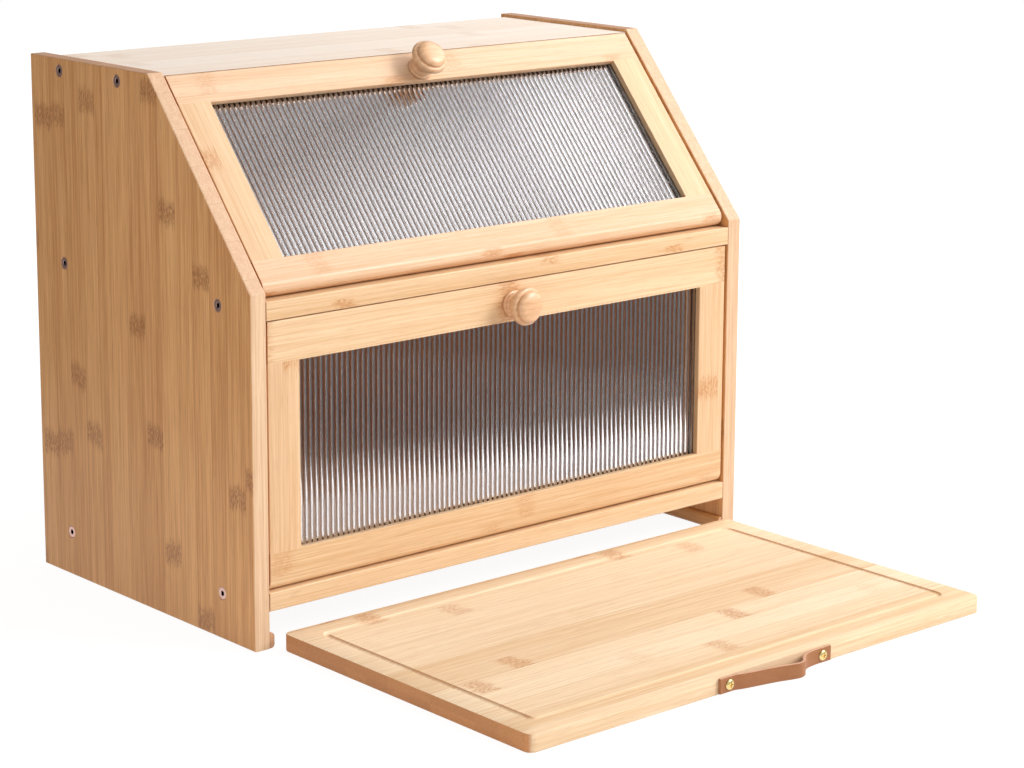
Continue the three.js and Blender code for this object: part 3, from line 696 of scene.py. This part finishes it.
# Radius and height above the door, in millimetres: base, neck, bell, rim, groove and dome.
KNOB_PROFILE = (
    (7.9, 0.0),
    (8.2, 0.35),
    (8.25, 1.0),
    (8.1, 1.6),
    (7.5, 1.95),
    (7.15, 2.1),
    (7.2, 2.35),
    (7.4, 2.7),
    (7.3, 3.2),
    (6.9, 3.6),
    (6.55, 3.95),
    (6.5, 4.6),
    (6.7, 5.6),
    (7.3, 6.8),
    (8.4, 8.1),
    (9.8, 9.3),
    (11.0, 10.4),
    (11.7, 11.5),
    (12.0, 12.7),
    (11.95, 13.7),
    (11.6, 14.6),
    (11.0, 15.25),
    (10.0, 15.4),
    (9.2, 15.5),
    (9.1, 15.9),
    (9.7, 16.5),
    (9.75, 17.1),
    (9.2, 17.8),
    (8.4, 18.7),
    (6.8, 19.3),
    (4.8, 19.75),
    (2.5, 19.95),
    (0.6, 20.0),
)
KNOB_STEPS = 96


def add_stiles(prefix, matrix, material):
    """Stiles that meet the rails without a groove, so that only the grain changes at the joint."""
    pane_low, pane_high = local_box(f"{prefix}_pane", matrix)
    _, bottom_high = local_box(f"{prefix}_bottom_rail", matrix)
    top_low, _ = local_box(f"{prefix}_top_rail", matrix)
    for word in SIDES:
        node = f"{prefix}_stile_{word}"
        low, high = local_box(node, matrix)
        side = -1 if word == "left" else 1
        outer = side * max(abs(low.x), abs(high.x))
        inner = side * min(abs(low.x), abs(high.x))
        wall = side * (pane_high.x + SEAT_GAP)
        front, back = low.y, high.y
        shoulder = pane_low.y - SEAT_GAP
        outline = rounded(
            [
                (outer, front, FRAME_ROUNDING),
                (inner, front, FRAME_ROUNDING),
                (inner, shoulder, 0),
                (wall, shoulder, 0),
                (wall, back, 0),
                (outer, back, FRAME_ROUNDING),
            ]
        )
        skin = prism(outline, bottom_high.z - FRAME_ROUNDING, top_low.z + FRAME_ROUNDING)
        add_piece(node, prefix, material, skin, matrix)


def add_pane(prefix, matrix, material):
    """Flutes with a round profile run up the front of the sheet."""
    node = f"{prefix}_pane"
    low, high = local_box(node, matrix)
    valley = low.y + FLUTE_HEIGHT
    back = low.y + SHEET_THICKNESS
    count = int((high.x - low.x) / FLUTE_PITCH)
    start = (low.x + high.x) / 2 - count * FLUTE_PITCH / 2
    radius = ((FLUTE_PITCH / 2) ** 2 + FLUTE_HEIGHT**2) / (2 * FLUTE_HEIGHT)
    outline = [(low.x, back), (low.x, valley)]
    for step in range(count * FLUTE_STEPS + 1):
        across = ((step % FLUTE_STEPS) / FLUTE_STEPS - 0.5) * FLUTE_PITCH
        crown = math.sqrt(radius**2 - across**2) - (radius - FLUTE_HEIGHT)
        outline.append((start + step / FLUTE_STEPS * FLUTE_PITCH, valley - crown))
    outline += [(high.x, valley), (high.x, back)]
    add_piece(node, prefix, material, prism(outline, low.z, high.z), matrix, 60.0)


def add_knob(prefix, matrix, material):
    node = f"{prefix}_knob"
    low, high = local_box(node, matrix)
    seat = Vector(((low.x + high.x) / 2, high.y, (low.z + high.z) / 2))
    stand = Matrix.Translation(seat) @ Matrix.Rotation(math.pi / 2, 4, "X")
    reach = (high.y - low.y) / KNOB_PROFILE[-1][1]
    skin = turned([(radius * MM, height * reach) for radius, height in KNOB_PROFILE], KNOB_STEPS)
    add_piece(node, prefix, material, skin, matrix @ stand, 60.0)


# ---- Side screws --------------------------------------------------------------------------------

SCREW_SOCKET = 3.0 * MM  # across the flats
SCREW_SOCKET_DEPTH = 1.6 * MM
SCREW_SOCKET_EASE = 0.15 * MM
SCREW_CHAMFER = 0.35 * MM
SCREW_HEAD_HEIGHT = 1.9 * MM
SCREW_SHANK_SHARE = 0.54  # of the head's radius
SCREW_STEPS = 48
SCREW_SHADE_DEPTH = 0.3 * MM  # below the face, where the painted shade in the socket starts


def add_side_screw(node, material):
    """A flat head with a hexagon socket, and its shank."""
    low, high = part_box(node)
    side = -1 if high.x < 0 else 1
    face = max(abs(low.x), abs(high.x))
    tip = min(abs(low.x), abs(high.x))
    radius = (high.z - low.z) / 2
    shank = radius * SCREW_SHANK_SHARE
    hexagon = []
    for i in range(SCREW_STEPS):
        turn = 2 * math.pi * i / SCREW_STEPS
        off_flat = (turn + math.pi / 6) % (math.pi / 3) - math.pi / 6
        hexagon.append(SCREW_SOCKET / 2 / math.cos(off_flat))
    rings = [
        circle([shank] * SCREW_STEPS, tip - face),
        circle([shank] * SCREW_STEPS, -SCREW_HEAD_HEIGHT),
        circle([radius] * SCREW_STEPS, -SCREW_CHAMFER),
        circle([radius - SCREW_CHAMFER] * SCREW_STEPS, 0.0),
        circle([r + SCREW_SOCKET_EASE for r in hexagon], 0.0),
        circle(hexagon, -SCREW_SOCKET_EASE),
        circle(hexagon, -SCREW_SOCKET_DEPTH),
    ]
    middle = (low + high) / 2
    axes = Matrix((side * Y_AXIS, Z_AXIS, side * X_AXIS)).transposed().to_4x4()
    place = Matrix.Translation(Vector((side * face, middle.y, middle.z))) @ axes
    add_piece(node, "case", material, loft(rings), place, 30.0)


def add_side_screws():
    screws = sorted(name for name in nodes if name.startswith("side_screw"))
    face = max(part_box(name)[1].x for name in screws)
    pale, deep = srgb(236, 196, 184), srgb(196, 160, 150)
    bolt = metal("bolt", pale, deep, 0.36, socket=face - SCREW_SHADE_DEPTH)
    for name in screws:
        add_side_screw(name, bolt)


# ---- Cutting board and pull ---------------------------------------------------------------------

BOARD_CORNER = 5.0 * MM
BOARD_EASE = 1.0 * MM
GROOVE_INSET = 17.0 * MM
GROOVE_WIDTH = 4.2 * MM
GROOVE_DEPTH = 1.25 * MM
GROOVE_CORNER = 3.0 * MM
GROOVE_STEPS = 10


def add_cutting_board(material):
    """Eased all round, with a juice groove that has a round bottom."""
    low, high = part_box("cutting_board")

    def ring(inset, z, radius):
        corners = [
            (low.x + inset, low.y + inset, radius),
            (high.x - inset, low.y + inset, radius),
            (high.x - inset, high.y - inset, radius),
            (low.x + inset, high.y - inset, radius),
        ]
        return [(x, y, z) for x, y in rounded(corners, 6)]

    ease = ((1.0, 0.0), (0.3, 0.3), (0.0, 1.0))  # shares of the easing, inwards and in height
    rings = [
        ring(BOARD_EASE * inset, low.z + BOARD_EASE * rise, BOARD_CORNER - BOARD_EASE * inset)
        for inset, rise in ease
    ]
    rings += [
        ring(BOARD_EASE * inset, high.z - BOARD_EASE * drop, BOARD_CORNER - BOARD_EASE * inset)
        for inset, drop in reversed(ease)
    ]
    half = GROOVE_WIDTH / 2
    for step in range(GROOVE_STEPS + 1):
        share = 2 * step / GROOVE_STEPS - 1
        depth = GROOVE_DEPTH * (1 - share**2)
        rings.append(
            ring(GROOVE_INSET + half * share, high.z - depth, GROOVE_CORNER + half * (1 - share))
        )
    return add_piece("cutting_board", "board", material, loft(rings), crease=40.0)


STRAP_THICKNESS = 1.8 * MM
STRAP_ROUNDING = 0.45 * MM
# Share of the strap's length along the board, and share of its bulge away from the board.
STRAP_COURSE = (
    (0, 0),
    (0.07, 0),
    (0.13, 0.01),
    (0.22, 0.23),
    (0.42, 0.58),
    (0.55, 0.9),
    (0.61, 0.995),
    (0.66, 0.85),
    (0.7, 0.48),
    (0.77, 0.13),
    (0.86, 0.01),
    (0.93, 0),
    (1, 0),
)
STRAP_STEPS = 8  # between two of these points


def add_strap(material):
    low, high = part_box("strap_handle")
    board_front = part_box("cutting_board")[0].y
    half = STRAP_THICKNESS / 2
    flat = board_front - SEAT_GAP - half
    bulge = flat - (low.y + half)
    span = high.x - low.x
    knots = [Vector((low.x + span * along, flat - bulge * out, 0)) for along, out in STRAP_COURSE]
    course = smooth_course(knots, STRAP_STEPS)
    section = rounded(
        [
            (-half, low.z, STRAP_ROUNDING),
            (half, low.z, STRAP_ROUNDING),
            (half, high.z, STRAP_ROUNDING),
            (-half, high.z, STRAP_ROUNDING),
        ]
    )
    rings = []
    for i, point in enumerate(course):
        ahead = course[min(i + 1, len(course) - 1)] - course[max(i - 1, 0)]
        side = Vector((-ahead.y, ahead.x, 0)).normalized()
        rings.append([tuple(point + side * d + Vector((0, 0, z))) for d, z in section])
    return add_piece("strap_handle", "board", material, loft(rings), crease=50.0)


STRAP_SCREW_RISE = 1.1 * MM
STRAP_SCREW_SHANK = 1.3 * MM  # radius
STRAP_SCREW_DOME = ((1.0, 0.0), (0.98, 0.35), (0.86, 0.7), (0.6, 0.93), (0.3, 1.0))
STRAP_SCREW_STEPS = 40
CROSS_REACH = 0.58  # share of the head's radius
CROSS_WIDTH = 0.84 * MM
CROSS_DEPTH = 0.8  # share of the head's rise


def add_strap_screw(node, material):
    """A domed head with a cross recess."""
    low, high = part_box(node)
    radius = (high.x - low.x) / 2
    seat = low.y + STRAP_SCREW_RISE
    profile = [(STRAP_SCREW_SHANK, seat - high.y), (STRAP_SCREW_SHANK, 0.0)]
    profile += [(radius * out, STRAP_SCREW_RISE * up) for out, up in STRAP_SCREW_DOME]
    skin = turned(profile, STRAP_SCREW_STEPS)
    middle = (low + high) / 2
    stand = Matrix.Translation((middle.x, seat, middle.z)) @ Matrix.Rotation(math.pi / 2, 4, "X")
    piece = add_piece(node, "board", material, skin, stand, 30.0)

    crown = Matrix.Translation((middle.x, low.y, middle.z))
    reach = 2 * CROSS_REACH * radius
    depth = 2 * CROSS_DEPTH * STRAP_SCREW_RISE
    arms = ((reach, depth, CROSS_WIDTH, 1), (CROSS_WIDTH, depth, reach, 1))
    carve(piece, [crown @ Matrix.Diagonal(arm) for arm in arms])


# ---- Light and floor ----------------------------------------------------------------------------

WORLD_LIGHT = 0.5
WHITE_RIGHT = (0.35, 0.75)  # x of a mirrored ray, where the room turns white to the right
WHITE_FRONT = (-0.28, -0.4)  # and y of one, where it turns white in front
DIM_WALL = 0.42  # the rest of the room
SLOPE_LOW = (0.33, 0.36, 0.8, 1.0)  # share of a ray up the upper door, and light of the room
SLOPE_HIGH = (0.365, 0.405, 1.0, 0.5)
FLOOR_HALF = 3.0
FLOOR_DROP = 0.2 * MM
FLOOR_GLOW = 0.925  # under the object
FLOOR_WHITE = (0.5, 1.3)  # where the glow starts to rise and is white, from the middle
FLOOR_SHADE = 0.15  # share of the floor that shows shadows
TABLE_SHADE = 0.22  # the same for the table as it is mirrored
DIM_FLOOR = 0.15  # beyond that table
TABLE_LOW = (-0.42, -0.27)  # corners of that table
TABLE_HIGH = (0.6, 0.6)
TABLE_BLUR = 0.01


def add_area_light(name, place, target, size, power):
    data = bpy.data.lights.new(name, "AREA")
    data.shape = "RECTANGLE"
    data.size, data.size_y = size
    data.energy = power
    light = bpy.data.objects.new(name, data)
    bpy.context.scene.collection.objects.link(light)
    light.location = place
    aim = Vector(target) - Vector(place)
    light.rotation_euler = aim.to_track_quat("-Z", "Y").to_euler()
    return light


def add_lamps():
    add_area_light("key", (0.884, -1.122, 1.068), (0, 0, 0.15), (0.8, 0.8), 19.0)
    side = add_area_light("side", (1.15, -0.30, 1.25), (0, 0, 0.2), (1.4, 1.4), 14.5)
    side.visible_transmission = False  # no glare through the upper window
    add_area_light("fill", (-0.75, -0.45, 0.09), (-0.2, 0.05, 0.05), (0.5, 0.16), 0.9)


def add_world():
    """Even light all round. It is seen as white, and mirrored as a room that is white to the right
    and in front, dim elsewhere, and dimmer low and high along the slope of the upper door."""
    world = bpy.data.worlds.new("studio")
    bpy.context.scene.world = world
    world.use_nodes = True
    world.node_tree.nodes.clear()
    graph = Graph(world.node_tree)
    mirrored, seen = graph.ray_kinds()
    direction = graph.node("ShaderNodeTexCoord").outputs["Generated"]
    x, y, _ = graph.split(direction)
    white = graph.math("MAXIMUM", graph.ramp(x, *WHITE_RIGHT), graph.ramp(y, *WHITE_FRONT))
    room = graph.math("MULTIPLY_ADD", white, 1.0 - DIM_WALL, DIM_WALL)
    up_slope = graph.dot(direction, DOOR_UP["upper_door"])
    for limits in (SLOPE_LOW, SLOPE_HIGH):
        room = graph.math("MULTIPLY", room, graph.ramp(up_slope, *limits))
    light = graph.node("ShaderNodeBackground")
    light.inputs["Color"].default_value = (1.0, 0.985, 0.97, 1)
    light.inputs["Strength"].default_value = WORLD_LIGHT
    backdrop = graph.node("ShaderNodeBackground")
    backdrop.inputs["Color"].default_value = (1, 1, 1, 1)
    graph.put(backdrop.inputs["Strength"], graph.mix_value(mirrored, 1.0, room))
    output = graph.node("ShaderNodeOutputWorld")
    graph.put(output.inputs[0], graph.mix_shader(seen, light.outputs[0], backdrop.outputs[0]))


def floor_material():
    """White where it is seen, but for the object's soft shadow, and mirrored as a white table on a
    dim floor."""
    material, graph, shader = new_material("floor")
    shader.inputs["Base Color"].default_value = (0.85, 0.85, 0.85, 1)
    shader.inputs["Roughness"].default_value = 1.0
    shader.inputs["Specular IOR Level"].default_value = 0.0
    mirrored, seen = graph.ray_kinds()
    place = graph.node("ShaderNodeTexCoord").outputs["Object"]
    table = 1.0
    for value, low, high in zip(graph.split(place), TABLE_LOW, TABLE_HIGH):
        inside = graph.ramp(value, low - TABLE_BLUR, low + TABLE_BLUR)
        table = graph.math("MULTIPLY", inside, table)
        inside = graph.ramp(value, high + TABLE_BLUR, high - TABLE_BLUR)
        table = graph.math("MULTIPLY", inside, table)
    distance = graph.node("ShaderNodeVectorMath", operation="LENGTH")
    graph.put(distance.inputs[0], place)
    near = graph.ramp(distance.outputs["Value"], *FLOOR_WHITE, FLOOR_GLOW, 1.0)
    table_glow = graph.math("MULTIPLY_ADD", table, 1.0 - DIM_FLOOR, DIM_FLOOR)
    glow = graph.node("ShaderNodeEmission")
    graph.put(glow.inputs["Strength"], graph.mix_value(mirrored, near, table_glow))
    grey = graph.mix_value(mirrored, FLOOR_SHADE, graph.math("MULTIPLY", table, TABLE_SHADE))
    shade = graph.node("ShaderNodeBsdfDiffuse")
    graph.put(shade.inputs["Color"], graph.combine(grey, grey, grey))
    both = graph.node("ShaderNodeAddShader")
    graph.put(both.inputs[0], glow.outputs[0])
    graph.put(both.inputs[1], shade.outputs[0])
    set_surface(material, graph, graph.mix_shader(seen, shader.outputs[0], both.outputs[0]))
    return material


def add_floor():
    mesh = bpy.data.meshes.new("floor")
    corners = [(-1, -1), (1, -1), (1, 1), (-1, 1)]
    mesh.from_pydata([(x * FLOOR_HALF, y * FLOOR_HALF, 0) for x, y in corners], [], [(0, 1, 2, 3)])
    mesh.materials.append(floor_material())
    floor = bpy.data.objects.new("floor", mesh)
    bpy.context.scene.collection.objects.link(floor)
    floor.location.z = -FLOOR_DROP


# ---- Everything ---------------------------------------------------------------------------------


def paint_hidden_metal():
    nickel = metal("nickel", srgb(190, 190, 192), srgb(150, 150, 154), 0.3)
    steel = metal("steel", srgb(224, 196, 192), srgb(184, 158, 154), 0.36)
    for name in nodes:
        if "magnet" in name:
            paint(nickel, name)
        elif "screw" in name or "hinge_pin" in name or "strike" in name:
            paint(steel, name)


def dress_doors():
    sheets = {"upper_door": acrylic("acrylic_upper", 0.55), "lower_door": acrylic("acrylic_lower", 0.78)}
    for number, (prefix, matrix) in enumerate(DOORS.items()):
        add_stiles(prefix, matrix, paint_door(prefix, number))
        add_pane(prefix, matrix, sheets[prefix])
        add_knob(prefix, matrix, knob_wood(prefix))


def dress_board():
    board = add_cutting_board(cutting_board_bamboo())
    strap = add_strap(leather())
    brass = metal("brass", srgb(246, 224, 164), srgb(222, 190, 120), 0.26)
    for side in SIDES:
        add_strap_screw(f"strap_screw_{side}", brass)
    for piece in (board, strap):  # the windows mirror the bare table
        piece.visible_glossy = False
        piece.visible_transmission = False


add_camera()
add_world()
add_floor()
add_lamps()
paint_case()
paint_hidden_metal()
dress_doors()
add_side_screws()
dress_board()

bpy.context.scene.view_settings.view_transform = "Standard"
